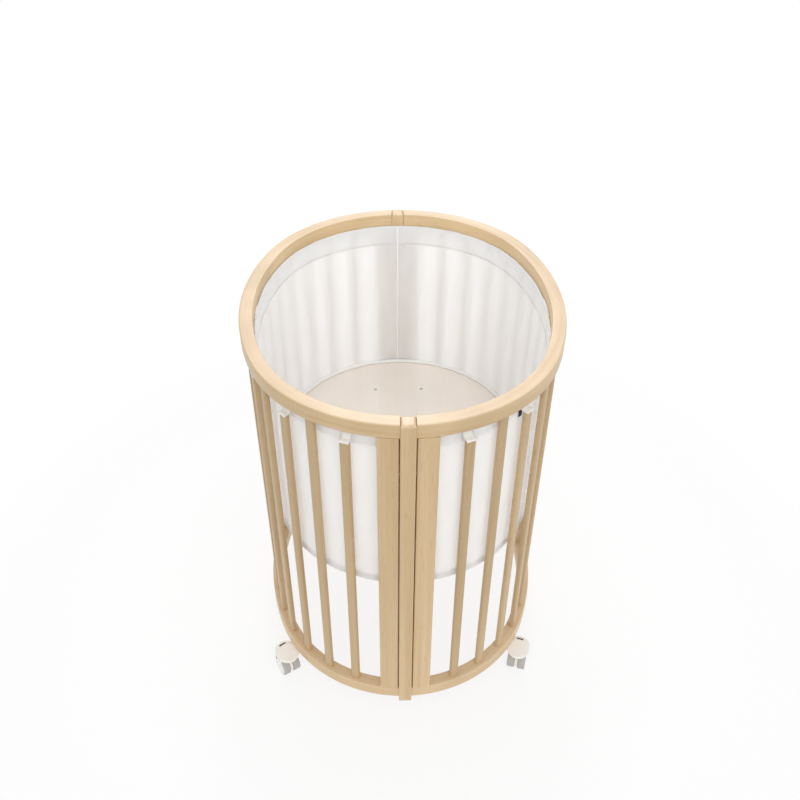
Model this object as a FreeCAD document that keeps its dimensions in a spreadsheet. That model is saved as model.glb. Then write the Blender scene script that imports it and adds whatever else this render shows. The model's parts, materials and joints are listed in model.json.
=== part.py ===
import math
import os

import FreeCAD
import Part
import Sketcher

# Oval baby crib: two half-oval side panels joined by a front and a back post, a mesh liner,
# a mattress base at mid height and four twin-wheel casters.
# Frame: origin on the floor below the middle, +X to the right, -Y to the front, +Z up.

V = FreeCAD.Vector
Z_AXIS = V(0, 0, 1)
doc = FreeCAD.newDocument("baby_crib")

SIZES = {
    # oval outline of the frame: two end arcs and two side arcs, tangent to each other
    "half_width": 335, "half_length": 410, "end_radius": 317.5,
    # rails and posts
    "rail_width": 28, "rail_height": 32, "rail_round": 3, "mid_inset": 14,
    "frame_height": 818, "ground_gap": 74,
    "post_width": 29, "post_depth": 32, "post_proud": 4, "post_drop": 10,
    "post_round": 2.5, "post_top_round": 6,
    # end boards and slats
    "board_width": 40, "board_depth": 18, "board_along": 35, "board_round": 2, "board_set": 0.6,
    "slat_width": 20, "slat_depth": 12, "slat_round": 5, "slat_count": 14, "first_slat": 115.5,
    "short_gap": 32, "tenon_diameter": 8, "tenon_length": 12, "tenon_spread": 12, "glue_gap": 0.05,
    # wooden dowels and steel studs across the posts
    "dowel_diameter": 8, "dowel_half": 36, "stud_diameter": 6, "stud_half": 45, "stud_inset": 10,
    "stud_margin": 90, "barrel_diameter": 10, "barrel_length": 14, "barrel_along": 39,
    # mattress base and its brackets
    "base_inset": 32, "base_thickness": 16, "base_drop": 434, "base_round": 3,
    "vent_diameter": 11, "vent_x": 60, "vent_y": 253,
    "bracket_width": 30, "bracket_leg": 44, "bracket_foot": 60, "bracket_sheet": 3,
    "bracket_screw_in": 14, "bolt_diameter": 6, "bolt_length": 14, "bolt_head": 11,
    "bolt_head_height": 3, "bolt_spread": 22, "height_step": 75,
    "screw_diameter": 4, "screw_length": 14, "screw_head": 8, "screw_head_height": 2.5,
    # mesh liner, its straps and its tag
    "liner_inset": 29, "liner_thickness": 2, "liner_drop": 28, "liner_gap": 0.5, "liner_lift": 1,
    "strap_width": 20, "strap_thickness": 1.2, "strap_lip": 2, "strap_clear": 0.3, "strap_sewn": 8,
    "tag_width": 11, "tag_height": 20, "tag_along": 254, "tag_drop": 37,
    # casters
    "caster_inset": -20.5, "caster_angle": -34.4, "disc_diameter": 53, "disc_thickness": 5,
    "arm_width": 26, "arm_length": 48, "boss_diameter": 14, "boss_depth": 18, "joint_gap": 0.3,
    "screw_sink": 2.7, "sink_diameter": 8.6,
    "stem_diameter": 8, "stem_top": 2, "stem_bottom": 23.5, "hood_diameter": 50, "hood_thickness": 4,
    "lobe_diameter": 52, "lobe_y": 13, "fender_gap": 1.5, "fender_thickness": 2.5, "fender_side": 0.5,
    "fender_front": 2, "fender_low": 7, "web_thickness": 7, "web_diameter": 43, "neck_front": 4,
    "neck_depth": 28, "neck_height": 16, "trail": 8, "wheel_diameter": 50, "wheel_width": 18,
    "wheel_gap": 0.5, "axle_diameter": 6, "running_clearance": 0.05,
    "pedal_width": 16, "pedal_thickness": 4, "pedal_hinge_y": 17, "pedal_end_y": 32.5,
    "pedal_drop": 13, "trunnion_diameter": 3, "barrel_wall": 1, "ear_thickness": 2.7, "ear_rise": 4.5,
    "tab_width": 15, "tab_y": 29.2, "tab_depth": 3, "tab_height": 7.4, "slot_margin": 1,
    "slot_depth": 6, "pedal_room_back": 3.6, "pedal_room_low": 9, "pedal_room_height": 12,
}

sheet = doc.addObject("Spreadsheet::Sheet", "Sizes")
for row, (alias, value) in enumerate(SIZES.items(), start=1):
    sheet.set(f"A{row}", alias.replace("_", " "))
    sheet.set(f"B{row}", str(value))
    sheet.setAlias(f"B{row}", alias)
doc.recompute()


def size(alias):
    return float(sheet.get(alias))


# ---------------------------------------------------------------- oval outline

A = size("half_width")
B = size("half_length")
END_R = size("end_radius")
SIDE_R = (A * A + B * B - 2 * B * END_R) / (2 * (A - END_R))
SIDE_R_CELLS = ("(Sizes.half_width^2 + Sizes.half_length^2 - 2 * Sizes.half_length * Sizes.end_radius)"
                " / (2 * (Sizes.half_width - Sizes.end_radius))")
END_Y = B - END_R
SIDE_X = SIDE_R - A
TANGENT = math.atan2(END_Y, SIDE_X)
MID = size("mid_inset")

TOP = size("ground_gap") + size("frame_height")
LOW_RAIL = size("ground_gap")
LOW_RAIL_TOP = LOW_RAIL + size("rail_height")
HIGH_RAIL = TOP - size("rail_height")
BASE_TOP = TOP - size("base_drop")
BASE_UNDER = BASE_TOP - size("base_thickness")


def along_oval(distance, inset=MID):
    """Point and outward angle (degrees) on the +X half, measured from the front middle."""
    end_length = (math.pi / 2 - TANGENT) * (END_R - MID)
    side_length = 2 * TANGENT * (SIDE_R - MID)
    if distance <= end_length:
        angle = -math.pi / 2 + distance / (END_R - MID)
        radius, centre = END_R - inset, (0, -END_Y)
    elif distance <= end_length + side_length:
        angle = -TANGENT + (distance - end_length) / (SIDE_R - MID)
        radius, centre = SIDE_R - inset, (-SIDE_X, 0)
    else:
        angle = TANGENT + (distance - end_length - side_length) / (END_R - MID)
        radius, centre = END_R - inset, (0, END_Y)
    point = V(centre[0] + radius * math.cos(angle), centre[1] + radius * math.sin(angle), 0)
    return point, math.degrees(angle)


HALF_LENGTH_ALONG = 2 * ((math.pi / 2 - TANGENT) * (END_R - MID) + TANGENT * (SIDE_R - MID))


def place_along(distance, height, side=1):
    """Placement with local +X outward; side -1 is the +X half turned half round."""
    point, angle = along_oval(distance)
    turn = 0 if side > 0 else 180
    spot = FreeCAD.Placement(V(point.x, point.y, height), FreeCAD.Rotation(Z_AXIS, angle))
    return FreeCAD.Placement(V(0, 0, 0), FreeCAD.Rotation(Z_AXIS, turn)).multiply(spot)


# ---------------------------------------------------------------- document helpers

nodes = {}


def keep(obj, label, placement=None):
    """Register a finished sub-part under its node name."""
    obj.Label = label
    if placement is not None:
        obj.Placement = placement
    nodes[label] = obj
    return obj


def bind(obj, **cells):
    for prop, expression in cells.items():
        obj.setExpression(prop, expression)
    return obj


def half(alias):
    return f"Sizes.{alias} / 2"


def box(length, width, height, corner):
    """Box from cell expressions, with its corner at a point."""
    solid = bind(doc.addObject("Part::Box", "Block"), Length=length, Width=width, Height=height)
    solid.Placement.Base = corner
    return solid


def cylinder(radius, height, start, axis=Z_AXIS):
    """Cylinder from cell expressions, from a point along an axis."""
    solid = bind(doc.addObject("Part::Cylinder", "Round"), Radius=radius, Height=height)
    solid.Placement = FreeCAD.Placement(start, FreeCAD.Rotation(Z_AXIS, axis))
    return solid


def fuse(*shapes):
    joined = doc.addObject("Part::MultiFuse", "Fused")
    joined.Shapes = list(shapes)
    joined.Refine = True
    return joined


def cut(base, *tools):
    result = doc.addObject("Part::Cut", "Cut")
    result.Base = base
    result.Tool = tools[0] if len(tools) == 1 else fuse(*tools)
    result.Refine = True
    return result


def rounded(base, radius, wanted):
    """Part::Fillet on the edges that a test picks."""
    doc.recompute()
    result = doc.addObject("Part::Fillet", "Rounded")
    result.Base = base
    result.Edges = [(i, radius, radius) for i, e in enumerate(base.Shape.Edges, start=1) if wanted(e)]
    return result


def upright(edge):
    ends = [v.Point for v in edge.Vertexes]
    return len(ends) == 2 and math.hypot(ends[0].x - ends[1].x, ends[0].y - ends[1].y) < 1e-6


def group(label, shapes):
    """Several separate solids of one kind in one node: an oval has no pattern that places them."""
    feature = doc.addObject("Part::Feature", "Group")
    feature.Shape = Part.makeCompound(shapes)
    return keep(feature, label)


def placed(shape, placement):
    copy = shape.copy()
    copy.Placement = placement.multiply(copy.Placement)
    return copy


def new_sketch(body, name, plane="XY_Plane", lift=None):
    sketch = body.newObject("Sketcher::SketchObject", name)
    support = next(f for f in body.Origin.OriginFeatures if f.Role == plane)
    sketch.AttachmentSupport = [(support, "")]
    sketch.MapMode = "FlatFace"
    if lift:
        sketch.setExpression("AttachmentOffset.Base.z", lift)
    return sketch


def bind_radius(sketch, geometry, name, cells):
    index = sketch.addConstraint(Sketcher.Constraint("Radius", geometry, sketch.Geometry[geometry].Radius))
    sketch.renameConstraint(index, name)
    sketch.setExpression(f"Constraints.{name}", cells)


def arc(centre, radius, start, end):
    circle = Part.Circle(V(centre[0], centre[1], 0), Z_AXIS, radius)
    return Part.ArcOfCircle(circle, start, end)


def draw_half_ring(sketch, outer, inner, gap):
    """Closed outline of half an oval ring between two insets, cut off at x = gap."""
    def half_arcs(inset):
        trim = math.asin(gap / (END_R - inset))
        return [arc((0, -END_Y), END_R - inset, -math.pi / 2 + trim, -TANGENT),
                arc((-SIDE_X, 0), SIDE_R - inset, -TANGENT, TANGENT),
                arc((0, END_Y), END_R - inset, TANGENT, math.pi / 2 - trim)]
    outside = half_arcs(size(outer) if outer else 0)
    inside = half_arcs(size(inner[0]) + (size(inner[1]) if len(inner) > 1 else 0))
    sketch.addGeometry(outside, False)
    sketch.addGeometry(Part.LineSegment(outside[2].EndPoint, inside[2].EndPoint), False)
    sketch.addGeometry(inside[::-1], False)
    sketch.addGeometry(Part.LineSegment(inside[0].StartPoint, outside[0].StartPoint), False)
    joints = [(0, 2, 1, 1), (1, 2, 2, 1), (2, 2, 3, 1), (3, 2, 4, 2), (4, 1, 5, 2), (5, 1, 6, 2),
              (6, 1, 7, 1), (7, 2, 0, 1)]
    sketch.addConstraint([Sketcher.Constraint("Coincident", *joint) for joint in joints])
    outer_cells = f" - Sizes.{outer}" if outer else ""
    inner_cells = "".join(f" - Sizes.{cell}" for cell in inner)
    bind_radius(sketch, 0, "outer_end", "Sizes.end_radius" + outer_cells)
    bind_radius(sketch, 1, "outer_side", SIDE_R_CELLS + outer_cells)
    bind_radius(sketch, 6, "inner_end", "Sizes.end_radius" + inner_cells)
    bind_radius(sketch, 5, "inner_side", SIDE_R_CELLS + inner_cells)


def pad(body, sketch, length):
    feature = body.newObject("PartDesign::Pad", "Pad")
    feature.Profile = sketch
    feature.setExpression("Length", length)
    sketch.Visibility = False
    return feature


def pocket(body, sketch, length, reverse):
    feature = body.newObject("PartDesign::Pocket", "Bores")
    feature.Profile = sketch
    feature.setExpression("Length", length)
    feature.Reversed = reverse
    doc.recompute()
    if feature.Shape.Volume >= feature.BaseFeature.Shape.Volume:
        raise RuntimeError(f"{body.Label}: the bores cut nothing")
    return feature


def fillet(body, feature, radius, wanted):
    doc.recompute()
    edges = [f"Edge{i}" for i, e in enumerate(feature.Shape.Edges, start=1) if wanted(e)]
    result = body.newObject("PartDesign::Fillet", "Rounding")
    result.Base = (feature, edges)
    result.setExpression("Radius", radius)
    return result


def circles(sketch, points, radius_cells, radius):
    for point in points:
        sketch.addGeometry(Part.Circle(V(point[0], point[1], 0), Z_AXIS, radius), False)
    for index in range(len(points)):
        bind_radius(sketch, index, f"bore_{index}", radius_cells)


# ---------------------------------------------------------------- where the slats stand

SLATS = int(size("slat_count"))
PITCH = (HALF_LENGTH_ALONG - 2 * size("first_slat")) / (SLATS - 1)
SLAT_SPOTS = [size("first_slat") + number * PITCH for number in range(SLATS)]


def is_short(number):
    """Short and full slats alternate, short ones first, from each end to the middle."""
    return min(number, SLATS - 1 - number) % 2 == 0


BOARD_SPOTS = [size("board_along"), HALF_LENGTH_ALONG - size("board_along")]


def tenon_points(distance):
    """The two tenons of an end board, either side of its middle."""
    point, angle = along_oval(distance)
    tangent = V(-math.sin(math.radians(angle)), math.cos(math.radians(angle)), 0)
    return [point + tangent * (sign * size("tenon_spread")) for sign in (-1, 1)]


# ---------------------------------------------------------------- rails

CASTER_RADIUS = END_R - size("caster_inset")
CASTER_TURN = math.radians(size("caster_angle"))
SCREW_INSETS = (13, 22)


def caster_screw_points():
    """Screws of the two caster brackets under one half rail."""
    points = []
    for inset in SCREW_INSETS:
        reach = END_R - inset
        x, y = reach * math.cos(CASTER_TURN), reach * math.sin(CASTER_TURN) - END_Y
        points += [(x, y), (x, -y)]
    return points


def make_rail(label, low, side):
    body = doc.addObject("PartDesign::Body", label)
    ring = new_sketch(body, "Ring")
    draw_half_ring(ring, None, ("rail_width",), size("post_width") / 2)
    solid = pad(body, ring, "Sizes.rail_height")
    long_edge = 100
    solid = fillet(body, solid, "Sizes.rail_round", lambda e: e.Length > long_edge)
    spots = [d for number, d in enumerate(SLAT_SPOTS) if low or not is_short(number)]
    centres = [along_oval(distance)[0] for distance in spots]
    for distance in BOARD_SPOTS:
        centres += tenon_points(distance)
    mortises = new_sketch(body, "Mortises", lift="Sizes.rail_height" if low else None)
    circles(mortises, centres, "Sizes.tenon_diameter / 2 + Sizes.glue_gap",
            size("tenon_diameter") / 2 + size("glue_gap"))
    pocket(body, mortises, "Sizes.tenon_length + 1", not low)
    dowels = new_sketch(body, "DowelBores", "YZ_Plane", half("post_width"))
    dowel_y = B - MID
    middle = size("rail_height") / 2
    circles(dowels, [(-dowel_y, middle), (dowel_y, middle)],
            "Sizes.dowel_diameter / 2 + Sizes.glue_gap", size("dowel_diameter") / 2 + size("glue_gap"))
    pocket(body, dowels, "Sizes.dowel_half - Sizes.post_width / 2 + 1", True)
    if low:
        pilots = new_sketch(body, "PilotHoles")
        circles(pilots, caster_screw_points(), half("screw_diameter"), size("screw_diameter") / 2)
        pocket(body, pilots, "Sizes.screw_length + Sizes.screw_sink", True)
    height = LOW_RAIL if low else HIGH_RAIL
    turn = 0 if side > 0 else 180
    keep(body, label, FreeCAD.Placement(V(0, 0, height), FreeCAD.Rotation(Z_AXIS, turn)))


# ---------------------------------------------------------------- posts, boards and slats

STUD_Y = B - size("stud_inset")
STUD_HEIGHTS = (LOW_RAIL_TOP + size("stud_margin"), HIGH_RAIL - size("stud_margin"))
DOWEL_HEIGHTS = (LOW_RAIL + size("rail_height") / 2, TOP - size("rail_height") / 2)


def make_post(label, turn):
    """Upright post at the front, turned half round for the back one."""
    bottom = LOW_RAIL - size("post_drop")
    corner = V(-size("post_width") / 2, -B - size("post_proud"), bottom)
    blank = box("Sizes.post_width", "Sizes.post_depth", "Sizes.frame_height + Sizes.post_drop", corner)
    softened = rounded(blank, size("post_round"), upright)
    front = -B - size("post_proud")

    def front_end(edge):
        point = edge.CenterOfMass
        level = abs(point.z - TOP) < 0.01
        return level and abs(point.y - front) < 0.01 and edge.Length > size("post_width") / 2
    softened = rounded(softened, size("post_top_round"), front_end)
    across = V(1, 0, 0)
    start = -size("post_width")
    bores = [cylinder("Sizes.dowel_diameter / 2 + Sizes.glue_gap", "Sizes.post_width * 2",
                      V(start, -(B - MID), height), across) for height in DOWEL_HEIGHTS]
    bores += [cylinder("Sizes.stud_diameter / 2 + Sizes.glue_gap", "Sizes.post_width * 2",
                       V(start, -STUD_Y, height), across) for height in STUD_HEIGHTS]
    keep(cut(softened, *bores), label, FreeCAD.Placement(V(0, 0, 0), FreeCAD.Rotation(Z_AXIS, turn)))


def barrel_spot(height):
    """Barrel nut in an end board: its local frame has +X outward."""
    return place_along(size("barrel_along"), height)


def make_board(label, side, back):
    """Flat end board beside a post. It is made at the front of the +X half, then turned or mirrored."""
    spot = place_along(size("board_along"), 0)
    outer = MID - size("board_set")
    length = HIGH_RAIL - LOW_RAIL_TOP
    blank = doc.addObject("Part::Box", "Board")
    bind(blank, Length="Sizes.board_depth", Width="Sizes.board_width",
         Height="Sizes.frame_height - 2 * Sizes.rail_height")
    softened = rounded(blank, size("board_round"), upright)
    tenons = [cylinder(half("tenon_diameter"), "Sizes.tenon_length", V(0, 0, 0)) for _ in range(4)]
    corner = V(outer - size("board_depth"), -size("board_width") / 2, LOW_RAIL_TOP)
    softened.Placement = spot.multiply(FreeCAD.Placement(corner, FreeCAD.Rotation()))
    starts = (LOW_RAIL_TOP - size("tenon_length"), LOW_RAIL_TOP + length)
    for index, point in enumerate(tenon_points(size("board_along"))):
        for end, start in enumerate(starts):
            tenons[2 * index + end].Placement.Base = V(point.x, point.y, start)
    inward_face = outer - size("board_depth")
    bores = []
    for height in STUD_HEIGHTS:
        bores.append(cylinder("Sizes.stud_diameter / 2 + Sizes.glue_gap", "Sizes.stud_half",
                              V(0, -STUD_Y, height), V(1, 0, 0)))
        barrel = cylinder("Sizes.barrel_diameter / 2 + Sizes.glue_gap", "Sizes.barrel_length + 1",
                          V(0, 0, 0))
        entry = FreeCAD.Placement(V(inward_face, 0, 0), FreeCAD.Rotation(Z_AXIS, V(1, 0, 0)))
        barrel.Placement = barrel_spot(height).multiply(entry)
        bores.append(barrel)
    for height in bolt_heights(every_level=True):
        hole = cylinder(half("bolt_diameter"), "Sizes.bolt_length - Sizes.bracket_sheet", V(0, 0, 0))
        entry = FreeCAD.Placement(V(inward_face, 0, height), FreeCAD.Rotation(Z_AXIS, V(1, 0, 0)))
        hole.Placement = spot.multiply(entry)
        bores.append(hole)
    board = cut(fuse(softened, *tenons), *bores)
    mirror = doc.addObject("Part::Mirroring", "Mirrored") if (side > 0) == back else None
    if mirror:
        mirror.Source = board
        mirror.Normal = V(1, 0, 0)
        board = mirror
    turn = 180 if back else 0
    keep(board, label, FreeCAD.Placement(V(0, 0, 0), FreeCAD.Rotation(Z_AXIS, turn)))


def bolt_heights(every_level=False):
    """Bracket bolts in an end board; the base can also hang one or two steps lower."""
    leg_middle = BASE_UNDER - size("bracket_sheet") - size("bracket_leg") / 2
    levels = (0, 1, 2) if every_level else (0,)
    steps = [leg_middle - level * size("height_step") for level in levels]
    return [step + sign * size("bolt_spread") / 2 for step in steps for sign in (-1, 1)]


def slat_master(short):
    """One slat standing on the bottom rail, local +X outward."""
    reach = "Sizes.frame_height - 2 * Sizes.rail_height" + (" - Sizes.short_gap" if short else "")
    corner = V(-size("slat_depth") / 2, -size("slat_width") / 2, 0)
    blank = box("Sizes.slat_depth", "Sizes.slat_width", reach, corner)
    softened = rounded(blank, size("slat_round"), upright)
    pieces = [cylinder(half("tenon_diameter"), "Sizes.tenon_length", V(0, 0, -size("tenon_length")))]
    length = HIGH_RAIL - LOW_RAIL_TOP
    if not short:
        pieces.append(cylinder(half("tenon_diameter"), "Sizes.tenon_length", V(0, 0, length)))
    slat = fuse(softened, *pieces)
    doc.recompute()
    return slat.Shape


def make_slats():
    masters = {True: slat_master(True), False: slat_master(False)}
    for side_name, side in (("right", 1), ("left", -1)):
        for end_name, numbers in (("front", range(SLATS // 2)), ("back", range(SLATS // 2, SLATS))):
            if side < 0:
                numbers = [SLATS - 1 - number for number in numbers]
            for short in (True, False):
                chosen = [number for number in numbers if is_short(number) == short]
                shapes = [placed(masters[short], place_along(SLAT_SPOTS[n], LOW_RAIL_TOP, side))
                          for n in chosen]
                kind = "short" if short else "full"
                group(f"{side_name}_{end_name}_{kind}_slats", shapes)


# ---------------------------------------------------------------- dowels, studs and barrel nuts

def simple_shape(obj):
    doc.recompute()
    return obj.Shape


def at(x, y, z, turn=0):
    return FreeCAD.Placement(V(x, y, z), FreeCAD.Rotation(Z_AXIS, turn))


def four_ways(shape):
    """A front-right piece repeated in each quarter: turned half round, and mirrored in X."""
    mirrored = shape.mirror(V(0, 0, 0), V(1, 0, 0))
    return [placed(s, at(0, 0, 0, turn)) for s in (shape, mirrored) for turn in (0, 180)]


def make_fasteners():
    dowel = simple_shape(cylinder(half("dowel_diameter"), "2 * Sizes.dowel_half",
                                  V(-size("dowel_half"), 0, 0), V(1, 0, 0)))
    group("rail_dowels", [placed(dowel, at(0, sign * (B - MID), height))
                          for sign in (-1, 1) for height in DOWEL_HEIGHTS])
    stud = simple_shape(cylinder(half("stud_diameter"), "2 * Sizes.stud_half",
                                 V(-size("stud_half"), 0, 0), V(1, 0, 0)))
    group("post_studs", [placed(stud, at(0, sign * STUD_Y, height))
                         for sign in (-1, 1) for height in STUD_HEIGHTS])
    nuts = []
    for height in STUD_HEIGHTS:
        nut = cylinder(half("barrel_diameter"), "Sizes.barrel_length", V(0, 0, 0))
        face = MID - size("board_set") - size("board_depth")
        entry = FreeCAD.Placement(V(face, 0, 0), FreeCAD.Rotation(Z_AXIS, V(1, 0, 0)))
        nut.Placement = barrel_spot(height).multiply(entry)
        thread = cylinder("Sizes.stud_diameter / 2", "2 * Sizes.stud_half",
                          V(0, -STUD_Y, height), V(1, 0, 0))
        nuts += four_ways(simple_shape(cut(nut, thread)))
    group("barrel_nuts", nuts)


# ---------------------------------------------------------------- mattress base

def make_base():
    body = doc.addObject("PartDesign::Body", "mattress_base")
    outline = new_sketch(body, "Outline")
    inset = size("base_inset")
    outline.addGeometry([arc((0, -END_Y), END_R - inset, -math.pi + TANGENT, -TANGENT),
                         arc((-SIDE_X, 0), SIDE_R - inset, -TANGENT, TANGENT),
                         arc((0, END_Y), END_R - inset, TANGENT, math.pi - TANGENT),
                         arc((SIDE_X, 0), SIDE_R - inset, math.pi - TANGENT, math.pi + TANGENT)], False)
    joints = [(0, 2, 1, 1), (1, 2, 2, 1), (2, 2, 3, 1), (3, 2, 0, 1)]
    outline.addConstraint([Sketcher.Constraint("Coincident", *joint) for joint in joints])
    bind_radius(outline, 0, "end_arc", "Sizes.end_radius - Sizes.base_inset")
    bind_radius(outline, 1, "side_arc", SIDE_R_CELLS + " - Sizes.base_inset")
    board = pad(body, outline, "Sizes.base_thickness")
    long_edge = 100
    fillet(body, board, "Sizes.base_round", lambda e: e.Length > long_edge)
    vents = new_sketch(body, "Vents", lift="Sizes.base_thickness")
    x, y = size("vent_x"), size("vent_y")
    circles(vents, [(x, y), (-x, y), (x, -y), (-x, -y)], half("vent_diameter"), size("vent_diameter") / 2)
    pocket(body, vents, "Sizes.base_thickness", False)
    points = [(sx * screw_point().x, sy * screw_point().y) for sx in (-1, 1) for sy in (-1, 1)]
    pilots = new_sketch(body, "PilotHoles")
    circles(pilots, points, half("screw_diameter"), size("screw_diameter") / 2)
    pocket(body, pilots, "Sizes.screw_length - Sizes.bracket_sheet", True)
    keep(body, "mattress_base", at(0, 0, BASE_UNDER))


def bracket_face():
    return MID - size("board_set") - size("board_depth")


def bracket_screw_x():
    return bracket_face() - size("bracket_foot") + size("bracket_screw_in")


def screw_point():
    """Where the screw of a bracket enters the base, near the front right board."""
    return place_along(size("board_along"), 0).multVec(V(bracket_screw_x(), 0, 0))


def round_headed(diameter, length, head, head_height):
    """Screw from local z = 0 (under the head) up to its length, head below."""
    shank = cylinder(half(diameter), f"Sizes.{length}", V(0, 0, 0))
    cap = cylinder(half(head), f"Sizes.{head_height}", V(0, 0, -size(head_height)))
    return simple_shape(fuse(shank, cap))


def make_brackets():
    """Four steel angles on the end boards that carry the base, with their bolts and screws."""
    sheet_mm = size("bracket_sheet")
    face = bracket_face()
    spot = place_along(size("board_along"), 0)
    across = -size("bracket_width") / 2
    leg = box("Sizes.bracket_sheet", "Sizes.bracket_width", "Sizes.bracket_leg + Sizes.bracket_sheet",
              V(face - sheet_mm, across, BASE_UNDER - sheet_mm - size("bracket_leg")))
    foot = box("Sizes.bracket_foot", "Sizes.bracket_width", "Sizes.bracket_sheet",
               V(face - size("bracket_foot"), across, BASE_UNDER - sheet_mm))
    holes = [cylinder(half("bolt_diameter"), "4 * Sizes.bracket_sheet", V(face - 2 * sheet_mm, 0, height),
                      V(1, 0, 0)) for height in bolt_heights()]
    holes.append(cylinder(half("screw_diameter"), "4 * Sizes.bracket_sheet",
                          V(bracket_screw_x(), 0, BASE_UNDER - 2 * sheet_mm)))
    angle = placed(simple_shape(cut(fuse(leg, foot), *holes)), spot)
    group("base_brackets", four_ways(angle))
    bolt = round_headed("bolt_diameter", "bolt_length", "bolt_head", "bolt_head_height")
    bolts = []
    for height in bolt_heights():
        entry = FreeCAD.Placement(V(face - sheet_mm, 0, height), FreeCAD.Rotation(Z_AXIS, V(1, 0, 0)))
        bolts += four_ways(placed(bolt, spot.multiply(entry)))
    group("bracket_bolts", bolts)
    screw = round_headed("screw_diameter", "screw_length", "screw_head", "screw_head_height")
    entry = at(bracket_screw_x(), 0, BASE_UNDER - sheet_mm)
    group("base_screws", four_ways(placed(screw, spot.multiply(entry))))


# ---------------------------------------------------------------- liner

LINER_TOP = TOP - size("liner_drop")


def make_liner(label, side):
    """Half of the mesh liner, a thin curved wall down to the underside of the base."""
    body = doc.addObject("PartDesign::Body", label)
    wall = new_sketch(body, "Wall")
    draw_half_ring(wall, "liner_inset", ("liner_inset", "liner_thickness"), size("liner_gap"))
    pad(body, wall, "Sizes.base_drop + Sizes.base_thickness - Sizes.liner_drop - Sizes.liner_lift")
    turn = 0 if side > 0 else 180
    keep(body, label, at(0, 0, BASE_UNDER + size("liner_lift"), turn))


def strap_master():
    """Strap from the top hem over the end of a short slat, with a short lip outside it."""
    thick, clear, lip = size("strap_thickness"), size("strap_clear"), size("strap_lip")
    inside, outside = -size("slat_depth") / 2, size("slat_depth") / 2 + clear
    hem = MID - size("liner_inset") + clear
    rest = HIGH_RAIL - size("short_gap") + clear
    sewn_top = HIGH_RAIL - thick
    points = [V(hem, 0, sewn_top), V(hem, 0, sewn_top - size("strap_sewn")), V(inside, 0, rest),
              V(outside, 0, rest), V(outside, 0, rest - lip), V(outside + thick, 0, rest - lip),
              V(outside + thick, 0, rest + thick), V(inside + lip, 0, rest + thick)]
    face = Part.Face(Part.makePolygon(points + points[:1]))
    face.translate(V(0, -size("strap_width") / 2, 0))
    return face.extrude(V(0, size("strap_width"), 0))


def make_straps():
    strap = strap_master()
    for name, side in (("right", 1), ("left", -1)):
        group(f"{name}_liner_straps", [placed(strap, place_along(SLAT_SPOTS[n], 0, side))
                                       for n in range(SLATS) if is_short(n)])
    tag = box("Sizes.strap_thickness / 2", "Sizes.tag_width", "Sizes.tag_height", V(0, 0, 0))
    outer = MID - size("liner_inset") + size("strap_clear")
    spot = place_along(size("tag_along"), LINER_TOP - size("tag_drop") - size("tag_height"))
    keep(tag, "liner_tag", spot.multiply(at(outer, -size("tag_width") / 2, 0)))


# ---------------------------------------------------------------- casters

WHEEL_X = size("web_thickness") / 2 + size("wheel_gap")
AXLE_Z = size("wheel_diameter") / 2 - size("ground_gap")
HOOD_TOP = -size("disc_thickness") - size("joint_gap")


def caster_bracket(label, spot):
    """Round plate on an arm under the rail, with a boss that the stem turns in."""
    low = -size("disc_thickness")
    plate = rounded(cylinder(half("disc_diameter"), "Sizes.disc_thickness", V(0, 0, low)), 2,
                    lambda e: abs(e.CenterOfMass.z) < 0.01 and e.Length > size("disc_diameter"))
    arm = box("Sizes.arm_length", "Sizes.arm_width", "Sizes.disc_thickness",
              V(-size("arm_length"), -size("arm_width") / 2, low))
    boss = cylinder(half("boss_diameter"), "Sizes.boss_depth", V(0, 0, -size("boss_depth")))
    bore = cylinder("Sizes.stem_diameter / 2 + Sizes.running_clearance", "Sizes.boss_depth",
                    V(0, 0, -size("boss_depth") - size("stem_top") + 1))
    holes = []
    for inset in SCREW_INSETS:
        x = size("caster_inset") - inset
        holes.append(cylinder(half("screw_diameter"), "2 * Sizes.disc_thickness", V(x, 0, 1.5 * low)))
        holes.append(cylinder(half("sink_diameter"), "Sizes.screw_sink", V(x, 0, low)))
    keep(cut(fuse(plate, arm, boss), bore, *holes), label, spot)


def hood_plate():
    """Round plate under the bracket with a lobe over the wheels and a slot for the brake tab."""
    low = HOOD_TOP - size("hood_thickness")
    disc = cylinder(half("hood_diameter"), "Sizes.hood_thickness", V(0, 0, low))
    lobe = cylinder(half("lobe_diameter"), "Sizes.hood_thickness", V(0, size("lobe_y"), low))
    slot = box("Sizes.tab_width + 2 * Sizes.slot_margin", "Sizes.slot_depth", "2 * Sizes.hood_thickness",
               V(-size("tab_width") / 2 - size("slot_margin"), size("tab_y") - size("slot_margin"), low - 1))
    return cut(fuse(disc, lobe), slot)


def fender():
    """Curved guard over the tops and backs of both wheels."""
    side = WHEEL_X + size("wheel_width") + size("fender_side")
    inner = size("wheel_diameter") / 2 + size("fender_gap")
    reach = inner + size("fender_thickness")
    width = "2 * (Sizes.wheel_width + Sizes.wheel_gap + Sizes.fender_side) + Sizes.web_thickness"
    start = V(-side, size("trail"), AXLE_Z)
    outer = cylinder("Sizes.wheel_diameter / 2 + Sizes.fender_gap + Sizes.fender_thickness", width, start,
                     V(1, 0, 0))
    hollow = cylinder("Sizes.wheel_diameter / 2 + Sizes.fender_gap", width, start, V(1, 0, 0))
    kept = doc.addObject("Part::Box", "FenderPart")
    kept.Length, kept.Width, kept.Height = 2 * side, 2 * reach, reach
    kept.Placement.Base = V(-side, -size("fender_front"), AXLE_Z + size("fender_low"))
    common = doc.addObject("Part::MultiCommon", "Fender")
    common.Shapes = [cut(outer, hollow), kept]
    return common


def plain_block(width, depth, height, corner):
    """Box from plain lengths that the driving cells already settle."""
    solid = doc.addObject("Part::Box", "Block")
    solid.Length, solid.Width, solid.Height = width, depth, height
    solid.Placement.Base = corner
    return solid


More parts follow.
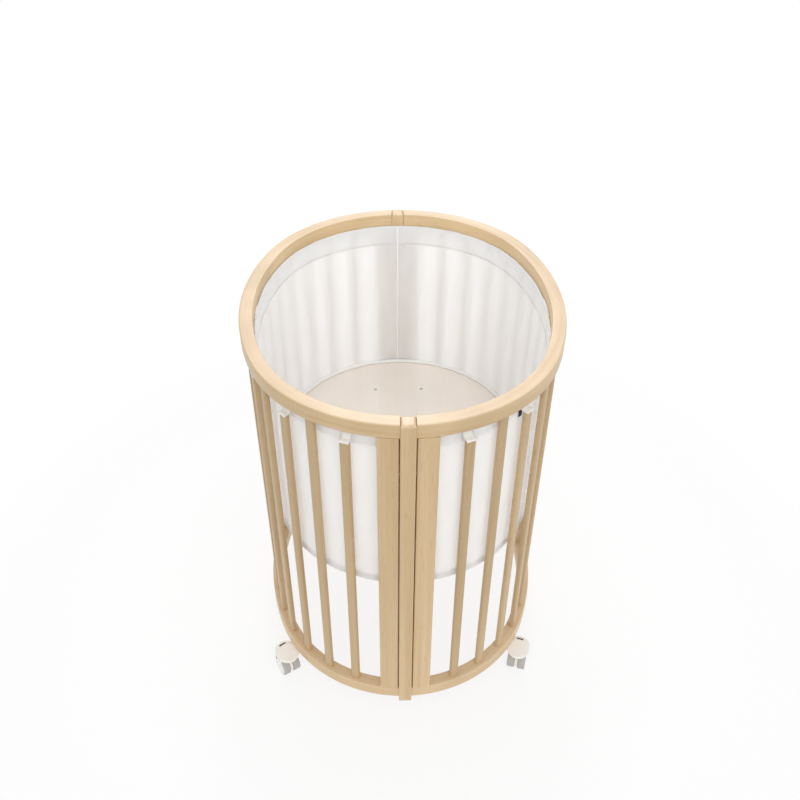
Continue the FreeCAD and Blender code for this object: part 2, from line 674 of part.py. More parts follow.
def housing_web():
    """Web between the wheels with the collar for the stem and room for the pedal."""
    web, joint = size("web_thickness"), size("joint_gap")
    under = HOOD_TOP - size("hood_thickness")
    collar_top = -size("boss_depth") - joint
    collar_low = -size("stem_bottom") - joint
    boss_edge = size("boss_diameter") / 2 + 2 * joint
    back = size("neck_depth") - size("neck_front")
    wheel_web = cylinder(half("web_diameter"), "Sizes.web_thickness", V(-web / 2, size("trail"), AXLE_Z),
                         V(1, 0, 0))
    upper = plain_block(web, back - boss_edge, under + joint - collar_low, V(-web / 2, boss_edge, collar_low))
    neck = plain_block(web, size("neck_depth"), size("neck_height"),
                       V(-web / 2, -size("neck_front"), collar_top - size("neck_height")))
    collar = doc.addObject("Part::Cylinder", "Collar")
    bind(collar, Radius=half("boss_diameter"))
    collar.Height = collar_top - collar_low
    collar.Placement.Base = V(0, 0, collar_low)
    room = doc.addObject("Part::Box", "PedalRoom")
    bind(room, Length="Sizes.pedal_width + 2 * Sizes.joint_gap", Width="Sizes.neck_depth",
         Height="Sizes.pedal_room_height")
    room.Placement.Base = V(-size("pedal_width") / 2 - joint, size("pedal_hinge_y") - size("pedal_room_back"),
                            -size("pedal_drop") - size("pedal_room_low"))
    return cut(fuse(wheel_web, upper, neck, collar), room)


def pedal_ears():
    ears = []
    ear_in = size("pedal_width") / 2 + size("joint_gap")
    low = -size("pedal_drop") - size("trunnion_diameter")
    for sign in (-1, 1):
        ear = box("Sizes.ear_thickness", "2 * Sizes.trunnion_diameter",
                  "Sizes.ear_rise + Sizes.trunnion_diameter",
                  V(ear_in if sign > 0 else -ear_in - size("ear_thickness"),
                    size("pedal_hinge_y") - size("trunnion_diameter"), low))
        ears.append(ear)
    return ears


def caster_housing(label, spot):
    """Swivelling hood with a fender, a web between the wheels and ears for the pedal."""
    clear = cylinder("Sizes.boss_diameter / 2 + Sizes.joint_gap", "Sizes.boss_depth",
                     V(0, 0, -size("boss_depth")))
    stem_bore = cylinder("Sizes.stem_diameter / 2 + 0.01", "Sizes.boss_depth",
                         V(0, 0, -size("stem_bottom") - size("joint_gap")))
    axle_bore = cylinder("Sizes.axle_diameter / 2 + 0.01", "2 * Sizes.web_thickness",
                         V(-size("web_thickness"), size("trail"), AXLE_Z), V(1, 0, 0))
    pin_bore = cylinder("Sizes.trunnion_diameter / 2 + Sizes.running_clearance", "2 * Sizes.pedal_width",
                        V(-size("pedal_width"), size("pedal_hinge_y"), -size("pedal_drop")), V(1, 0, 0))
    solid = fuse(hood_plate(), fender(), housing_web(), *pedal_ears())
    keep(cut(solid, clear, stem_bore, axle_bore, pin_bore), label, spot)


def caster_pedal(label, spot):
    """Brake pedal: a flat lever with a barrel, two trunnions and a tab that shows in the hood."""
    hinge = V(0, size("pedal_hinge_y"), -size("pedal_drop"))
    barrel = cylinder("Sizes.trunnion_diameter / 2 + Sizes.barrel_wall", "Sizes.pedal_width",
                      hinge - V(size("pedal_width") / 2, 0, 0), V(1, 0, 0))
    reach = size("pedal_width") / 2 + size("ear_thickness")
    trunnions = cylinder(half("trunnion_diameter"), "Sizes.pedal_width + 2 * Sizes.ear_thickness",
                         hinge - V(reach, 0, 0), V(1, 0, 0))
    lever = box("Sizes.pedal_width", "Sizes.pedal_end_y - Sizes.pedal_hinge_y", "Sizes.pedal_thickness",
                V(-size("pedal_width") / 2, hinge.y, hinge.z - size("pedal_thickness") / 2))
    tab = box("Sizes.tab_width", "Sizes.tab_depth", "Sizes.tab_height",
              V(-size("tab_width") / 2, size("tab_y"), hinge.z))
    keep(fuse(lever, barrel, trunnions, tab), label, spot)


def caster_wheel(label, spot, sign):
    """One moulded wheel with a raised hub and a recessed outer face."""
    inner_x = WHEEL_X if sign > 0 else -WHEEL_X - size("wheel_width")
    outer_x = inner_x + (size("wheel_width") if sign > 0 else 0)
    tyre = rounded(cylinder(half("wheel_diameter"), "Sizes.wheel_width",
                            V(inner_x, size("trail"), AXLE_Z), V(1, 0, 0)), 2,
                   lambda e: e.Length > 3 * size("wheel_diameter"))
    bore = cylinder("Sizes.axle_diameter / 2 + Sizes.running_clearance", "2 * Sizes.wheel_width",
                    V(inner_x - size("wheel_width") / 2, size("trail"), AXLE_Z), V(1, 0, 0))
    recess = cylinder("0.32 * Sizes.wheel_diameter", "Sizes.wheel_width / 5",
                      V(outer_x, size("trail"), AXLE_Z), V(-sign, 0, 0))
    keep(cut(tyre, bore, recess), label, spot)


CASTERS = {
    # name: (which side in X, which end in Y, swivel angle at rest in degrees)
    "front_left": (-1, -1, 32), "front_right": (1, -1, -17),
    "back_left": (-1, 1, 152), "back_right": (1, 1, 194),
}


def make_casters():
    screw = round_headed("screw_diameter", "screw_length", "screw_head", "screw_head_height")
    screws = []
    for name, (x_sign, y_sign, swivel) in CASTERS.items():
        x = CASTER_RADIUS * math.cos(CASTER_TURN)
        y = CASTER_RADIUS * math.sin(CASTER_TURN) - END_Y
        outward = math.degrees(math.atan2(-y_sign * math.sin(CASTER_TURN), x_sign * math.cos(CASTER_TURN)))
        fixed = at(x_sign * x, -y_sign * y, LOW_RAIL, outward)
        turned = at(x_sign * x, -y_sign * y, LOW_RAIL, swivel)
        caster_bracket(f"{name}_caster_bracket", fixed)
        caster_housing(f"{name}_caster_housing", turned)
        stem = cylinder(half("stem_diameter"), "Sizes.stem_bottom - Sizes.stem_top", V(0, 0, 0))
        keep(stem, f"{name}_caster_stem", turned.multiply(at(0, 0, -size("stem_bottom"))))
        axle = cylinder(half("axle_diameter"), "2 * Sizes.wheel_width + Sizes.web_thickness", V(0, 0, 0))
        entry = FreeCAD.Placement(V(-size("wheel_width") - size("web_thickness") / 2, size("trail"), AXLE_Z),
                                  FreeCAD.Rotation(Z_AXIS, V(1, 0, 0)))
        keep(axle, f"{name}_caster_axle", turned.multiply(entry))
        caster_wheel(f"{name}_right_wheel", turned, 1)
        caster_wheel(f"{name}_left_wheel", turned, -1)
        caster_pedal(f"{name}_brake_pedal", turned)
        for inset in SCREW_INSETS:
            entry = at(size("caster_inset") - inset, 0, size("screw_sink") - size("disc_thickness"))
            screws.append(placed(screw, fixed.multiply(entry)))
    group("caster_screws", screws)


# ---------------------------------------------------------------- build and write

for side_name, side in (("left", -1), ("right", 1)):
    make_rail(f"{side_name}_top_rail", False, side)
    make_rail(f"{side_name}_bottom_rail", True, side)
    make_board(f"front_{side_name}_board", side, False)
    make_board(f"back_{side_name}_board", side, True)
    make_liner(f"{side_name}_liner", side)
make_post("front_post", 0)
make_post("back_post", 180)
make_slats()
make_fasteners()
make_base()
make_brackets()
make_straps()
make_casters()
doc.recompute()

for obj in doc.Objects:
    if "Invalid" in obj.State or "Error" in obj.State:
        raise RuntimeError(f"{obj.Label} failed to build")
for name, obj in nodes.items():
    if obj.Shape.isNull() or not obj.Shape.isValid():
        raise RuntimeError(f"{name} has no valid shape")

os.makedirs("parts", exist_ok=True)
for name, obj in nodes.items():
    obj.Shape.exportStep(f"parts/{name}.step")
print(len(nodes), "nodes written")
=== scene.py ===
import json
import math
import random

import bmesh
import bpy
from mathutils import Matrix, Vector


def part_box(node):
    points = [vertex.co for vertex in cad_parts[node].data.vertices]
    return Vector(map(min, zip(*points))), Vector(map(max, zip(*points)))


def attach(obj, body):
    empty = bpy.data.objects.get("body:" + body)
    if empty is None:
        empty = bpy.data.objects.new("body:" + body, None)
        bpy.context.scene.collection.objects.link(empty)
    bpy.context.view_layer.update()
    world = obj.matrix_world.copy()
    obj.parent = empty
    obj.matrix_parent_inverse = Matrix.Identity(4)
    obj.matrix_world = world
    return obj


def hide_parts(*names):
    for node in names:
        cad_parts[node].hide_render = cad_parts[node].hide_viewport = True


# Looks of the oval crib: lacquered beech, a white mesh liner with hem, piping and straps,
# a pale mattress base and twin-wheel casters. Lengths are in metres.

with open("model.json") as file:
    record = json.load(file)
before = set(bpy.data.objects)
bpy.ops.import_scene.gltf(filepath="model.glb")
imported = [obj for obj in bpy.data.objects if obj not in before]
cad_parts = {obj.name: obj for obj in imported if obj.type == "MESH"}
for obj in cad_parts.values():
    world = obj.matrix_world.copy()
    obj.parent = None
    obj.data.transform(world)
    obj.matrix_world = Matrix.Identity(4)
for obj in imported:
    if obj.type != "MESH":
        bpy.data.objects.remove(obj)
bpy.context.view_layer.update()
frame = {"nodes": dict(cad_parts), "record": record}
random.seed(7)

# ---------------------------------------------------------------- the oval of the frame

# Four arcs: a tight one round each end and a wide one along each side, tangent where they meet.
HALF_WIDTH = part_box("right_top_rail")[1][0]
HALF_LENGTH = 0.410
END_RADIUS = 0.3175
SIDE_RADIUS = ((HALF_WIDTH**2 + HALF_LENGTH**2 - 2 * HALF_LENGTH * END_RADIUS)
               / (2 * (HALF_WIDTH - END_RADIUS)))
END_Y = HALF_LENGTH - END_RADIUS
SIDE_X = SIDE_RADIUS - HALF_WIDTH
TANGENT = math.atan2(END_Y, SIDE_X)
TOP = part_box("front_post")[1][2]
BASE_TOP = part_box("mattress_base")[1][2]
LINER_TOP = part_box("right_liner")[1][2]
LINER_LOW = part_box("right_liner")[0][2]
# How far the liner and the middle line of the slats lie inside the outer oval.
LINER_INSET = 0.030
SLAT_INSET = 0.014


def half_oval(inset):
    """Length of one half of the oval, this far inside the outer one."""
    return 2 * ((math.pi / 2 - TANGENT) * (END_RADIUS - inset) + TANGENT * (SIDE_RADIUS - inset))


def oval_point(along, inset, side=1):
    """Point and outward unit vector on the +X half (side 1) or the -X half (side -1).

    Along is measured on the line of the slats: from the front middle on the +X half, and from
    the back middle on the -X half, which is the +X half turned by 180 degrees.
    """
    end = (math.pi / 2 - TANGENT) * (END_RADIUS - SLAT_INSET)
    flank = 2 * TANGENT * (SIDE_RADIUS - SLAT_INSET)
    if along <= end:
        angle = -math.pi / 2 + along / (END_RADIUS - SLAT_INSET)
        centre, radius = (0, -END_Y), END_RADIUS - inset
    elif along <= end + flank:
        angle = -TANGENT + (along - end) / (SIDE_RADIUS - SLAT_INSET)
        centre, radius = (-SIDE_X, 0), SIDE_RADIUS - inset
    else:
        angle = TANGENT + (along - end - flank) / (END_RADIUS - SLAT_INSET)
        centre, radius = (0, END_Y), END_RADIUS - inset
    outward = Vector((math.cos(angle), math.sin(angle), 0))
    point = Vector((centre[0] + radius * outward.x, centre[1] + radius * outward.y, 0))
    return point * side, outward * side


# The slats are evenly spaced, and every other one is short, starting beside the end boards.
HALF_ALONG = half_oval(SLAT_INSET)
SLAT_COUNT = 14
FIRST_SLAT = 0.1155
SLAT_PITCH = (HALF_ALONG - 2 * FIRST_SLAT) / (SLAT_COUNT - 1)
SLAT_SPOTS = [FIRST_SLAT + n * SLAT_PITCH for n in range(SLAT_COUNT)]
SHORT_SPOTS = [s for n, s in enumerate(SLAT_SPOTS) if min(n, SLAT_COUNT - 1 - n) % 2 == 0]


# ---------------------------------------------------------------- material helpers

def rgb(red, green, blue):
    """sRGB 0-255 to a linear colour."""
    def linear(value):
        c = value / 255
        return c / 12.92 if c <= 0.04045 else ((c + 0.055) / 1.055) ** 2.4
    return (linear(red), linear(green), linear(blue), 1.0)


class Shader:
    """A new material and short ways to add and link its nodes."""

    def __init__(self, name):
        self.material = bpy.data.materials.new(name)
        self.material.use_nodes = True
        self.tree = self.material.node_tree
        self.tree.nodes.clear()
        self.output = self.tree.nodes.new("ShaderNodeOutputMaterial")

    def add(self, kind, inputs=None, **settings):
        node = self.tree.nodes.new("ShaderNode" + kind)
        for name, value in settings.items():
            setattr(node, name, value)
        for name, value in (inputs or {}).items():
            socket = node.inputs[name]
            if isinstance(value, bpy.types.NodeSocket):
                self.tree.links.new(value, socket)
            else:
                socket.default_value = value
        return node

    def math(self, operation, first, second=0.0):
        node = self.add("Math", {0: first, 1: second}, operation=operation)
        return node.outputs[0]

    def ramp(self, factor, stops):
        node = self.add("ValToRGB", {"Fac": factor})
        ramp = node.color_ramp
        while len(ramp.elements) < len(stops):
            ramp.elements.new(0.5)
        for element, (position, colour) in zip(ramp.elements, stops):
            element.position = position
            element.color = colour
        return node.outputs["Color"]

    def mix(self, factor, first, second, blend_type="MIX"):
        node = self.add("Mix", data_type="RGBA", blend_type=blend_type)
        for index, value in ((0, factor), (6, first), (7, second)):
            if isinstance(value, bpy.types.NodeSocket):
                self.tree.links.new(value, node.inputs[index])
            else:
                node.inputs[index].default_value = value
        return node.outputs[2]

    def place(self):
        return self.add("TexCoord").outputs["Object"]

    def around(self, scale_along, scale_across, scale_up):
        """Coordinates that follow the oval: along it, across it and up."""
        parts = self.add("SeparateXYZ", {0: self.place()})
        x = self.math("DIVIDE", parts.outputs[0], HALF_WIDTH)
        y = self.math("DIVIDE", parts.outputs[1], HALF_LENGTH)
        angle = self.math("ARCTAN2", y, x)
        squares = self.math("ADD", self.math("MULTIPLY", x, x), self.math("MULTIPLY", y, y))
        across = self.math("SQRT", squares)
        mean = (HALF_WIDTH + HALF_LENGTH) / 2
        joined = self.add("CombineXYZ", {0: self.math("MULTIPLY", angle, mean * scale_along),
                                         1: self.math("MULTIPLY", across, mean * scale_across),
                                         2: self.math("MULTIPLY", parts.outputs[2], scale_up)})
        return joined.outputs[0]

    def scaled(self, x, y, z):
        return self.add("Mapping", {"Vector": self.place(), "Scale": (x, y, z)}).outputs[0]

    def noise(self, vector, scale=1.0, detail=4.0, roughness=0.55, distortion=0.0):
        node = self.add("TexNoise", {"Vector": vector, "Scale": scale, "Detail": detail,
                                     "Roughness": roughness, "Distortion": distortion})
        return node.outputs["Fac"]

    def bump(self, height, strength, distance):
        return self.add("Bump", {"Height": height, "Strength": strength,
                                 "Distance": distance}).outputs[0]

    def surface(self, colour, roughness, normal=None, **extra):
        inputs = {"Base Color": colour, "Roughness": roughness}
        if normal is not None:
            inputs["Normal"] = normal
        inputs.update({name.replace("_", " "): value for name, value in extra.items()})
        principled = self.add("BsdfPrincipled", inputs)
        self.tree.links.new(principled.outputs[0], self.output.inputs[0])
        return self.material


# Painted highlight: faces that look up are tinted a little paler and cooler than the rest, standing in
# for the sheen of the overhead light on the clear coat.
PAINTED_SHEEN_TINT = (1.03, 1.07, 1.24, 1)


def wood(name, pale, deep, grain, gloss=0.36):
    """Lacquered beech: soft long bands, fine short flecks, a thin clear coat and a painted highlight on
    faces that look up.
    """
    shader = Shader(name)
    if grain == "around":
        bands, flecks, pores = (shader.around(1.6, 70, 70), shader.around(28, 520, 520),
                                shader.around(9, 900, 900))
    else:
        bands, flecks, pores = (shader.scaled(46, 46, 1.3), shader.scaled(420, 420, 26),
                                shader.scaled(900, 900, 8))
    broad = shader.noise(bands, detail=5, roughness=0.6, distortion=0.8)
    tone = shader.ramp(broad, [(0.32, pale), (0.68, deep)])
    lengths = shader.noise(shader.scaled(9, 9, 0.15), detail=1)
    shift = shader.ramp(lengths, [(0.3, (0.93, 0.92, 0.9, 1)), (0.7, (1.05, 1.05, 1.06, 1))])
    tone = shader.mix(1.0, tone, shift, "MULTIPLY")
    fleck = shader.noise(flecks, detail=2, roughness=0.5)
    mark = shader.ramp(fleck, [(0.60, (1, 1, 1, 1)), (0.74, (0.80, 0.72, 0.62, 1))])
    tone = shader.mix(0.55, tone, mark, "MULTIPLY")
    # Painted highlight: mask of the upward faces, which get the pale, cool sheen tint in their colour.
    painted_sheen_mask = shader.add("SeparateXYZ", {0: shader.add("NewGeometry").outputs["Normal"]}).outputs[2]
    painted_sheen_mask = shader.add("MapRange", {"Value": painted_sheen_mask, "From Min": 0.3, "From Max": 0.95}).outputs[0]
    tone = shader.mix(painted_sheen_mask, tone, shader.mix(1.0, tone, PAINTED_SHEEN_TINT, "MULTIPLY"))
    fine = shader.noise(pores, detail=3, roughness=0.65)
    rough = shader.add("MapRange", {"Value": fine, "To Min": gloss - 0.05, "To Max": gloss + 0.09})
    normal = shader.bump(fine, 0.10, 0.0004)
    return shader.surface(tone, rough.outputs[0], normal, Coat_Weight=0.12, Coat_Roughness=0.25)


def base_ply():
    """Pale lacquered board with faint long grain and a satin sheen."""
    shader = Shader("pale_board")
    bands = shader.noise(shader.scaled(30, 1.2, 30), detail=5, roughness=0.6, distortion=0.5)
    tone = shader.ramp(bands, [(0.3, rgb(254, 246, 237)), (0.7, rgb(250, 240, 229))])
    cloud = shader.noise(shader.place(), scale=5, detail=2)
    shift = shader.ramp(cloud, [(0.35, (0.97, 0.97, 0.97, 1)), (0.65, (1.02, 1.02, 1.02, 1))])
    tone = shader.mix(1.0, tone, shift, "MULTIPLY")
    fine = shader.noise(shader.scaled(500, 16, 500), detail=2)
    rough = shader.add("MapRange", {"Value": fine, "To Min": 0.30, "To Max": 0.38})
    return shader.surface(tone, rough.outputs[0], shader.bump(fine, 0.06, 0.0003), Coat_Weight=0.9,
                          Coat_Roughness=0.18)


def cloth(name, colour, openness, through, pitch=0.0014, depth=0.35):
    """Fabric that lets light through. openness is the share of it that is holes."""
    shader = Shader(name)
    per_metre = 1 / pitch
    cells = shader.add("TexVoronoi", {"Vector": shader.around(per_metre, per_metre, per_metre),
                                      "Scale": 1.0, "Randomness": 0.15}).outputs["Distance"]
    threads = shader.ramp(cells, [(0.34, (0, 0, 0, 1)), (0.52, (1, 1, 1, 1))])
    cloud = shader.noise(shader.around(14, 14, 9), detail=3)
    shift = shader.ramp(cloud, [(0.3, (0.985, 0.985, 0.985, 1)), (0.7, (1.0, 1.0, 1.0, 1))])
    tone = shader.mix(1.0, colour, shift, "MULTIPLY")
    normal = shader.bump(threads, depth, 0.0004)
    solid = shader.add("BsdfDiffuse", {"Color": tone, "Roughness": 0.6, "Normal": normal})
    glow = shader.add("BsdfTranslucent", {"Color": tone, "Normal": normal})
    body = shader.add("MixShader", {0: through, 1: solid.outputs[0], 2: glow.outputs[0]})
    clear = shader.add("BsdfTransparent", {"Color": (1, 1, 1, 1)})
    holes = shader.math("MULTIPLY", shader.math("SUBTRACT", 1.0, threads), openness * 2)
    mixed = shader.add("MixShader", {0: holes, 1: body.outputs[0], 2: clear.outputs[0]})
    shader.tree.links.new(mixed.outputs[0], shader.output.inputs[0])
    return shader.material


def tape(name, colour, pitch=0.0009):
    """Close-woven tape or thread with a fine twill."""
    shader = Shader(name)
    per_metre = 1 / pitch
    weave = shader.add("TexWave", {"Vector": shader.around(per_metre, per_metre, per_metre),
                                   "Scale": 0.32, "Distortion": 0.6, "Detail": 1.0},
                       bands_direction="DIAGONAL").outputs["Fac"]
    tone = shader.mix(shader.math("MULTIPLY", weave, 0.2), colour,
                      tuple(0.86 * c for c in colour[:3]) + (1,))
    return shader.surface(tone, 0.85, shader.bump(weave, 0.4, 0.0003), Sheen_Weight=0.25)


def plastic(name, colour, roughness, grain=900, coat=0.0):
    """Moulded plastic: fine spark-eroded texture and a faint uneven tone."""
    shader = Shader(name)
    fine = shader.noise(shader.place(), scale=grain, detail=2)
    cloud = shader.noise(shader.place(), scale=60, detail=2)
    shift = shader.ramp(cloud, [(0.3, (0.96, 0.96, 0.96, 1)), (0.7, (1.0, 1.0, 1.0, 1))])
    tone = shader.mix(1.0, colour, shift, "MULTIPLY")
    rough = shader.add("MapRange", {"Value": fine, "To Min": roughness - 0.06,
                                    "To Max": roughness + 0.06})
    return shader.surface(tone, rough.outputs[0], shader.bump(fine, 0.08, 0.0002), Coat_Weight=coat)


def steel():
    """Zinc-plated steel with a fine spangle."""
    shader = Shader("zinc_steel")
    spangle = shader.noise(shader.place(), scale=220, detail=3)
    tone = shader.ramp(spangle, [(0.3, rgb(170, 172, 176)), (0.7, rgb(206, 208, 212))])
    rough = shader.add("MapRange", {"Value": spangle, "To Min": 0.25, "To Max": 0.42})
    return shader.surface(tone, rough.outputs[0], shader.bump(spangle, 0.05, 0.0002), Metallic=1.0)


PALE = rgb(223, 196, 154)
DEEP = rgb(210, 179, 133)
MATERIALS = {
    "rail": wood("beech_bent", PALE, DEEP, "around"),
    "upright": wood("beech_upright", PALE, DEEP, "up"),
    "slat": wood("beech_slat", rgb(207, 180, 139), rgb(194, 164, 120), "up", 0.40),
    "dowel": wood("dowel_wood", rgb(232, 208, 170), rgb(218, 188, 146), "up", 0.6),
    "base": base_ply(),
    "mesh": cloth("liner_mesh", rgb(255, 255, 255), 0.02, 0.27),
    "hem": cloth("liner_hem", rgb(254, 254, 254), 0.0, 0.32, 0.0011, 0.25),
    "tape": tape("white_tape", rgb(255, 254, 252)),
    "thread": tape("white_thread", rgb(238, 235, 230), 0.0005),
    "tag": tape("black_tag", rgb(30, 30, 31)),
    "white": plastic("white_plastic", rgb(251, 247, 241), 0.38, coat=0.15),
    "tread": plastic("grey_tread", rgb(188, 184, 178), 0.6, 600),
    "pedal": plastic("pedal_plastic", rgb(70, 66, 62), 0.45),
    "steel": steel(),
}


def paint_nodes():
    """Gives each CAD node the material that the ending of its name calls for, or else steel."""
    rules = [("_rail", "rail"), ("_post", "upright"), ("_board", "upright"), ("_slats", "slat"),
             ("rail_dowels", "dowel"), ("mattress_base", "base"), ("liner_tag", "tag"),
             ("caster_bracket", "white"), ("caster_housing", "white"), ("brake_pedal", "pedal")]
    for name, node in frame["nodes"].items():
        chosen = next((material for ending, material in rules if name.endswith(ending)), "steel")
        for slot in node.material_slots:
            slot.material = MATERIALS[chosen]


# ---------------------------------------------------------------- mesh helpers

def new_piece(name, vertices, faces, material, body="frame"):
    """A smooth mesh object that rides on a body."""
    mesh = bpy.data.meshes.new(name)
    mesh.from_pydata([tuple(v) for v in vertices], [], faces)
    mesh.validate()
    mesh.shade_smooth()
    piece = bpy.data.objects.new(name, mesh)
    bpy.context.scene.collection.objects.link(piece)
    mesh.materials.append(MATERIALS[material])
    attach(piece, body)
    return piece


def grid_faces(columns, rows):
    """Faces between neighbouring columns of vertices."""
    return [(c * rows + r, (c + 1) * rows + r, (c + 1) * rows + r + 1, c * rows + r + 1)
            for c in range(columns - 1) for r in range(rows - 1)]


def tube(path, radius, sides=10, closed=False):
    """Vertices and faces of a round tube along a list of points."""
    vertices = []
    count = len(path)
    for index, point in enumerate(path):
        before = path[index - 1] if index or closed else point
        after = path[(index + 1) % count] if index < count - 1 or closed else point
        ahead = (after - before).normalized()
        helper = Vector((0, 0, 1)) if abs(ahead.z) < 0.9 else Vector((1, 0, 0))
        across = ahead.cross(helper).normalized()
        up = across.cross(ahead)
        for side in range(sides):
            turn = 2 * math.pi * side / sides
            vertices.append(point + radius * (math.cos(turn) * across + math.sin(turn) * up))
    faces = []
    for index in range(count if closed else count - 1):
        start, end = index * sides, ((index + 1) % count) * sides
        for side in range(sides):
            after = (side + 1) % sides
            faces.append((start + side, start + after, end + after, end + side))
    if not closed:
        faces.append(tuple(range(sides))[::-1])
        faces.append(tuple((count - 1) * sides + s for s in range(sides)))
    return vertices, faces


def joined(parts):
    """One vertex and face list out of several."""
    vertices, faces = [], []
    for part_vertices, part_faces in parts:
        offset = len(vertices)
        vertices += part_vertices
        faces += [tuple(index + offset for index in face) for face in part_faces]
    return vertices, faces


def lathe(profile, centre, axis, segments=72):
    """Vertices and faces of a closed profile, (along the axis, radius), turned about an axis."""
    turn = Vector((1, 0, 0)).rotation_difference(axis).to_matrix()
    vertices = []
    for segment in range(segments):
        angle = 2 * math.pi * segment / segments
        for along, radius in profile:
            local = Vector((along, radius * math.cos(angle), radius * math.sin(angle)))
            vertices.append(centre + turn @ local)
    rows = len(profile)
    faces = []
    for segment in range(segments):
        after = (segment + 1) % segments
        for row in range(rows):
            up = (row + 1) % rows
            faces.append((segment * rows + row, segment * rows + up, after * rows + up,
                          after * rows + row))
    return vertices, faces


def sharpen(piece, angle=35):
    """Keeps crisp edges where two faces meet at more than an angle."""
    mesh = bmesh.new()
    mesh.from_mesh(piece.data)
    bmesh.ops.recalc_face_normals(mesh, faces=mesh.faces)
    for edge in mesh.edges:
        if len(edge.link_faces) == 2 and edge.calc_face_angle() > math.radians(angle):
            edge.smooth = False
    mesh.to_mesh(piece.data)
    mesh.free()


# ---------------------------------------------------------------- liner

HEM_DEPTH = 0.050
SEAM_GAP = 0.0006
LINER_COLUMNS = 260
WALL_ROWS = 60


def column_place(column):
    """Where a column of the liner stands along its half of the oval."""
    return SEAM_GAP + (HALF_ALONG - 2 * SEAM_GAP) * column / (LINER_COLUMNS - 1)


def hem_sag(along):
    """How far the lower edge of the hem hangs below a level line."""
    return 0.0016 * math.sin(11 * along + 1.3)


def ripple(along, height):
    """The mesh is pulled taut, so it only ripples faintly between the slats and near its seams."""
    share = (height - LINER_LOW) / (LINER_TOP - LINER_LOW)
    between = math.cos(2 * math.pi * (along - FIRST_SLAT) / SLAT_PITCH)
    slow = math.sin(9 * along + 5 * share) * math.sin(math.pi * share)
    seam = math.exp(-min(along, HALF_ALONG - along) / 0.03) * math.sin(38 * height)
    return 0.0006 * between + 0.0009 * slow + 0.0005 * seam


def make_wall(name, side, node):
    """One half of the liner, from its hem down to the underside of the base."""
    vertices = []
    for column in range(LINER_COLUMNS):
        along = column_place(column)
        for row in range(WALL_ROWS):
            height = LINER_LOW + (LINER_TOP - LINER_LOW) * row / (WALL_ROWS - 1)
            point, _ = oval_point(along, LINER_INSET + ripple(along, height), side)
            vertices.append(Vector((point.x, point.y, height)))
    wall = new_piece(name, vertices, grid_faces(LINER_COLUMNS, WALL_ROWS), "mesh")
    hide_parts(node)
    return wall


def make_hem(name, side):
    """Doubled band along the top: rolled over its top edge and turned in at its lower edge."""
    outline = [(0.0004, -0.012), (-0.0006, -0.003), (-0.0004, -0.0006), (0.0004, 0.0), (0.0011, -0.0010),
               (0.0013, -0.0040), (0.0010, -0.012), (0.0008, -0.024), (0.0009, -0.036),
               (0.0013, -0.046), (0.0010, -0.0490), (0.0002, -0.0500)]
    vertices = []
    for column in range(LINER_COLUMNS):
        along = column_place(column)
        for inward, drop in outline:
            share = -drop / HEM_DEPTH
            wave = (0.0004 * math.sin(37 * along + 3) + 0.0002 * math.sin(83 * along)) * share
            stretch = 1 + hem_sag(along) * share / HEM_DEPTH
            point, _ = oval_point(along, LINER_INSET + inward + wave, side)
            vertices.append(Vector((point.x, point.y, LINER_TOP + drop * stretch)))
    hem = new_piece(name, vertices, grid_faces(LINER_COLUMNS, len(outline)), "hem")
    return hem


def make_stitches(name, side, heights, inset):
    """Rows of short raised stitches along the hem."""
    length, spacing, radius, end_gap = 0.0030, 0.0042, 0.00035, 0.006
    parts = []
    for height in heights:
        along = end_gap
        while along < HALF_ALONG - end_gap:
            start, _ = oval_point(along, inset, side)
            end, _ = oval_point(along + length, inset, side)
            sag = hem_sag(along) * (LINER_TOP - height) / HEM_DEPTH
            middle = (start + end) / 2
            inward = -middle.normalized() * radius * 0.8
            points = [Vector((p.x, p.y, height - sag)) for p in (start, middle + inward, end)]
            parts.append(tube(points, radius, 5))
            along += spacing
    stitches = new_piece(name, *joined(parts), "thread")
    return stitches


def make_seams():
    """Upright piping where the halves meet, and the piping round the edge of the base."""
    parts = []
    low, high = LINER_LOW, LINER_TOP - 0.002
    upright_steps, half_steps = 40, 180
    for end in (-1, 1):
        y = end * (HALF_LENGTH - LINER_INSET - 0.0010)
        points = [Vector((0.0004 * math.sin(0.9 * n), y, low + (high - low) * n / upright_steps))
                  for n in range(upright_steps + 1)]
        parts.append(tube(points, radius=0.0021, sides=10))
    upright = new_piece("liner_seam_piping", *joined(parts), "tape")
    ring = []
    for side in (1, -1):
        for n in range(half_steps):
            point, _ = oval_point(HALF_ALONG * n / half_steps, LINER_INSET + 0.0052, side)
            ring.append(Vector((point.x, point.y, BASE_TOP + 0.0042 + 0.0003 * math.sin(0.7 * n))))
    edge = new_piece("base_edge_piping", *tube(ring, radius=0.0043, sides=12, closed=True), "tape")


VENT_X, VENT_Y = 0.060, 0.253
VENT_RADIUS = 0.0055


def make_grommets():
    """White rims pressed into the vent holes of the base: a thin sleeve with a domed flange."""
    hole, low, seat = VENT_RADIUS, -0.0158, 0.00005
    profile = [(low, hole - 0.0001), (low, hole - 0.0009), (0.0004, hole - 0.0009),
               (0.0012, hole - 0.0001), (0.0015, hole + 0.0014), (0.0012, hole + 0.0036),
               (0.0002, hole + 0.0046), (seat, hole + 0.0046), (seat, hole - 0.0001)]
    parts = [lathe(profile, Vector((x, y, BASE_TOP)), Vector((0, 0, 1)), 40)
             for x in (-VENT_X, VENT_X) for y in (-VENT_Y, VENT_Y)]
    rims = new_piece("vent_rims", *joined(parts), "white")
    sharpen(rims)


STRAP_WIDTH = 0.0205
STRAP_THICK = 0.0013
STRAP_COLUMNS = 7


